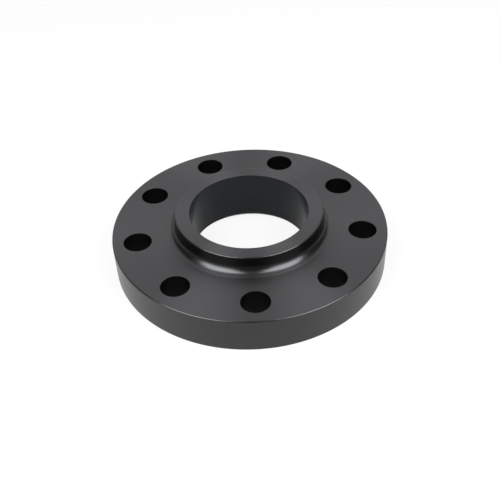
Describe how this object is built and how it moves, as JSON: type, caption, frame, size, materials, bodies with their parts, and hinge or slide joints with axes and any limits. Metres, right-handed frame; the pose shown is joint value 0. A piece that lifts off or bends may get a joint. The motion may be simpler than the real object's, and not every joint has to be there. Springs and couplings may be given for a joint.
{
  "type": "hubbed slip-on weld flange",
  "caption": "Round steel pipe flange with a thick plate, a short filleted hub, a plain through bore for the pipe and a ring of evenly spaced bolt holes.",
  "frame": {"origin": "centre of the flat gasket face, which the flange lies on", "axes": "+Z along the pipe bore, from the gasket face towards the hub; -Y runs through one bolt hole"},
  "size_m": [0.21, 0.21, 0.041],
  "materials": {
    "flange_coat": "satin"
  },
  "bodies": {
    "root": {"weld_flange": "flange_coat"}
  },
  "joints": []
}
